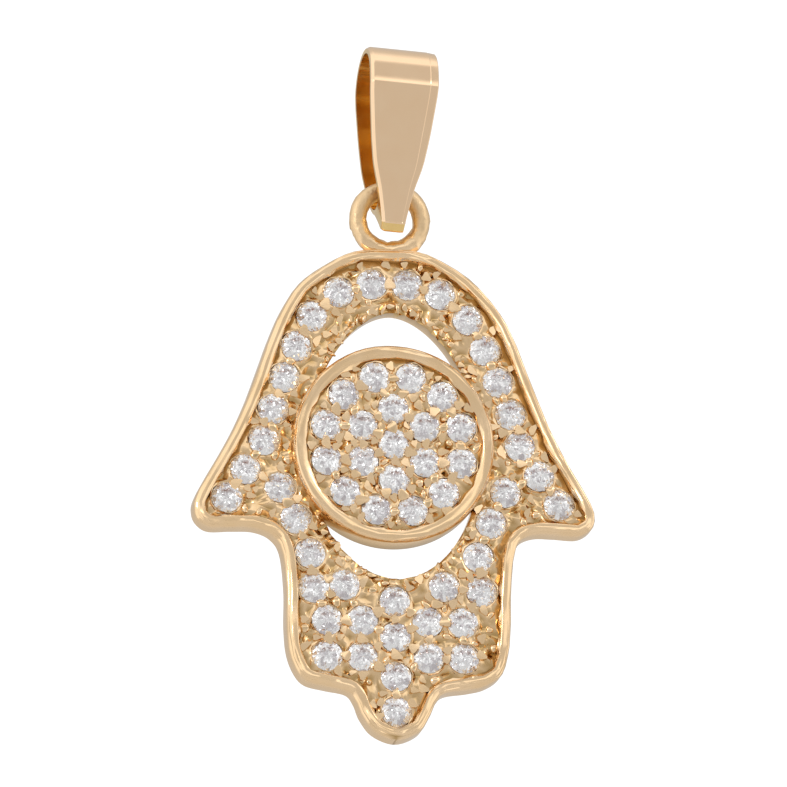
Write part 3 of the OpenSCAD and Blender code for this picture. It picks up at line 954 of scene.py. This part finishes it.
def splinters(nodes, links, fan, fan_bend, fine_bend, tones, metallic):
    """Shader that is broken into cells that fan out from the stone's middle and into
    finer ones. Both kinds have their own slopes, the wide cells their own grey to white
    tones, painted light and dark reflections of the facets, and the fine ones break up a
    brown arc near the stone's top, a painted reflection."""
    shader = nodes.new("ShaderNodeBsdfPrincipled")
    shader.inputs["Metallic"].default_value = metallic
    shader.inputs["Roughness"].default_value = 0.05
    shader.inputs["IOR"].default_value = 2.15
    within = attribute(nodes, "within")["Vector"]
    split = nodes.new("ShaderNodeSeparateXYZ")
    links.new(within, split.inputs[0])
    turn = maths(nodes, links, "ARCTAN2", split.outputs["Y"], split.outputs["X"])
    out = vector_maths(nodes, links, "LENGTH", within).outputs["Value"]
    polar = nodes.new("ShaderNodeCombineXYZ")
    links.new(maths(nodes, links, "MULTIPLY", turn, fan[0]), polar.inputs["X"])
    links.new(maths(nodes, links, "MULTIPLY", out, fan[1]), polar.inputs["Y"])
    links.new(attribute(nodes, "stone")["Fac"], polar.inputs["Z"])
    wide = cells(nodes, links, polar.outputs["Vector"], 1)
    fine = cells(nodes, links, nodes.new("ShaderNodeTexCoord").outputs["Object"], 13000)
    normal = nodes.new("ShaderNodeNewGeometry").outputs["Normal"]
    normal = bent(nodes, links, normal, wide, fan_bend)
    normal = bent(nodes, links, normal, fine, fine_bend)
    unit = vector_maths(nodes, links, "NORMALIZE", normal)
    links.new(unit.outputs["Vector"], shader.inputs["Normal"])
    parts = nodes.new("ShaderNodeSeparateXYZ")
    links.new(wide, parts.inputs[0])
    # Painted reflections: each wide cell gets a tone from grey to white.
    tone = ramp(nodes, links, parts.outputs["X"], tones, (1, 1, 1), (0.0, 0.6))
    seen = painted_reflection_arc(nodes, links, within, split.outputs["Y"], fine)
    # Painted reflection: the brown arc near the stone's top.
    colour = mixed(nodes, links, seen, tone, (0.3, 0.14, 0.1))
    links.new(colour, shader.inputs["Base Color"])
    return shader.outputs["BSDF"]


def zirconia():
    """Shaders of the crown and of the pavilion seen through it. Both throw the
    light back in small splinters, whose grey and white tones and brown arc are painted
    reflections."""
    crown, nodes, links = new_material("zirconia_crown")
    out = nodes.new("ShaderNodeOutputMaterial")
    clear = nodes.new("ShaderNodeBsdfTransparent")
    # The crown's grey to white tones are painted reflections.
    bright = splinters(nodes, links, (2.6, 3.2), 0.5, 0.55, (0.6, 0.56, 0.58), 0.62)
    mix = nodes.new("ShaderNodeMixShader")
    mix.inputs["Fac"].default_value = 0.88
    links.new(clear.outputs["BSDF"], mix.inputs[1])
    links.new(bright, mix.inputs[2])
    links.new(mix.outputs["Shader"], out.inputs["Surface"])

    pavilion, nodes, links = new_material("zirconia_pavilion")
    out = nodes.new("ShaderNodeOutputMaterial")
    # The pavilion's grey to pink tones are painted reflections.
    deep = splinters(nodes, links, (3.8, 4), 0.8, 0.4, (0.6, 0.5, 0.5), 0.6)
    links.new(deep, out.inputs["Surface"])
    return crown, pavilion


def paint(obj, mat):
    """Gives obj that material alone."""
    obj.data.materials.clear()
    obj.data.materials.append(mat)


def cosine(nodes, links, place, way):
    """Cosine of the angle between a direction and way."""
    return vector_maths(nodes, links, "DOT_PRODUCT", place, way).outputs["Value"]


def share(nodes, links, value, low, high):
    """How far value has come on its way from low to high, from 0 to 1."""
    node = nodes.new("ShaderNodeMapRange")
    node.inputs["From Min"].default_value = low
    node.inputs["From Max"].default_value = high
    links.new(value, node.inputs["Value"])
    return node.outputs["Result"]


def bands(nodes, links, height, table):
    """Brightness out of a table of angles, for a height from 0 to 1."""
    node = nodes.new("ShaderNodeValToRGB")
    while len(node.color_ramp.elements) < len(table):
        node.color_ramp.elements.new(0.5)
    for element, (degrees, level) in zip(node.color_ramp.elements, table):
        element.position = (math.sin(math.radians(degrees)) + 1) / 2
        element.color = (level, level, level, 1)
    links.new(height, node.inputs["Fac"])
    return node.outputs["Color"]


def world():
    """The studio that the metal mirrors: bands of light in front, and elsewhere a
    light ring round the camera."""
    made = bpy.data.worlds.new("studio")
    bpy.context.scene.world = made
    made.use_nodes = True
    nodes, links = made.node_tree.nodes, made.node_tree.links
    nodes.clear()
    out = nodes.new("ShaderNodeOutputWorld")
    back = nodes.new("ShaderNodeBackground")
    split = nodes.new("ShaderNodeSeparateXYZ")
    place = nodes.new("ShaderNodeTexCoord").outputs["Generated"]
    links.new(place, split.inputs[0])
    ahead = cosine(nodes, links, place, (math.sin(math.radians(10)), -math.cos(math.radians(10)), 0))
    level = vector_maths(nodes, links, "MULTIPLY", place, (1, 1, 0)).outputs["Vector"]
    length = vector_maths(nodes, links, "LENGTH", level).outputs["Value"]
    side = share(nodes, links, maths(nodes, links, "DIVIDE", ahead, length), 0.55, 0.88)
    height = share(nodes, links, split.outputs["Z"], -1, 1)
    front = bands(nodes, links, height, FRONT_LIGHT)
    from_camera = share(nodes, links, cosine(nodes, links, place, (-0.165, -0.954, -0.25)), 1, -1)
    around = bands(nodes, links, from_camera, ROUND_LIGHT)
    links.new(mixed(nodes, links, side, around, front), back.inputs["Color"])
    links.new(back.outputs["Background"], out.inputs["Surface"])


def softbox(name, place, target, size, power):
    """A rectangular lamp that looks at the target."""
    data = bpy.data.lights.new(name, "AREA")
    data.shape, data.size, data.size_y, data.energy = "RECTANGLE", size[0], size[1], power
    obj = bpy.data.objects.new(name, data)
    bpy.context.scene.collection.objects.link(obj)
    obj.location = place
    obj.rotation_euler = (Vector(target) - Vector(place)).to_track_quat("-Z", "Y").to_euler()


def camera():
    """The photo's camera: a little to the left and below, far off, and rolled."""
    a, e, roll = math.radians(-9.8), math.radians(-14.5), math.radians(1.0)
    right = Vector((math.cos(a), math.sin(a), 0))
    up = Vector((-math.sin(a) * math.sin(e), math.cos(a) * math.sin(e), math.cos(e)))
    x_axis = right * math.cos(roll) - up * math.sin(roll)
    y_axis = right * math.sin(roll) + up * math.cos(roll)
    z_axis = x_axis.cross(y_axis)
    wide, distance, sensor = 39.35 * MM, 1.2, 36
    target = ORIGIN + x_axis * 0.135 * MM + y_axis * 2.76 * MM
    data = bpy.data.cameras.new("camera")
    data.sensor_width = sensor
    data.lens = sensor * distance / wide
    data.clip_start, data.clip_end = 0.01, 10
    data.dof.use_dof = False
    obj = bpy.data.objects.new("camera", data)
    bpy.context.scene.collection.objects.link(obj)
    turn = Matrix((x_axis, y_axis, z_axis)).transposed().to_4x4()
    obj.matrix_world = Matrix.Translation(target + z_axis * distance) @ turn
    bpy.context.scene.camera = obj


def pale_floor():
    """The wide pale floor that the shadow falls on."""
    obj = mesh_object("floor", [(-1, -1, -0.6), (1, -1, -0.6), (1, 1, -0.6), (-1, 1, -0.6)],
                      [(0, 1, 2, 3)])
    mat, nodes, links = new_material("pale_floor")
    out = nodes.new("ShaderNodeOutputMaterial")
    shader = nodes.new("ShaderNodeBsdfPrincipled")
    shader.inputs["Roughness"].default_value = 0.8
    place = nodes.new("ShaderNodeTexCoord").outputs["Object"]
    colour = ramp(nodes, links, noise_node(nodes, links, place, 6),
                  (0.74, 0.74, 0.74), (0.76, 0.76, 0.76))
    links.new(colour, shader.inputs["Base Color"])
    links.new(shader.outputs["BSDF"], out.inputs["Surface"])
    paint(obj, mat)
    return obj


metal = hand_metal()
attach(metal, "pendant")
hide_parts("hand")
# The last colour is the painted shade of the recesses.
paint(metal, gold("cast_gold", (0.96, 0.7, 0.43), (0.93, 0.66, 0.38), (0.12, 0.2), 0.000003,
                  (0.56, 0.36, 0.15)))
# The second gold is deeper and darker: painted bounced light and shade on the strap's inside and
# under its foot.
bail(gold("bail_gold", (0.98, 0.71, 0.46), (0.97, 0.69, 0.44), (0.07, 0.12), 0.0000003),
     gold("bail_shaded_inside", (0.94, 0.67, 0.28), (0.86, 0.58, 0.22), (0.12, 0.2), 0.000001))
crown, pavilion = zirconia()
stones("hand_stones_cut", hand_stones, BED, 61, "hand_stones", crown, pavilion)
stones("disc_stones_cut", disc_stones, DISC_FLOOR, 62, "disc_stones", crown, pavilion)

floor = pale_floor()

world()
softbox("key", (0.6, -0.45, 0.45), ORIGIN, (0.2, 0.2), 0.3)
softbox("fill", (-0.65, -0.45, 0.2), ORIGIN, (0.15, 0.15), 0.6)
camera()
bpy.context.scene.view_settings.view_transform = "Standard"
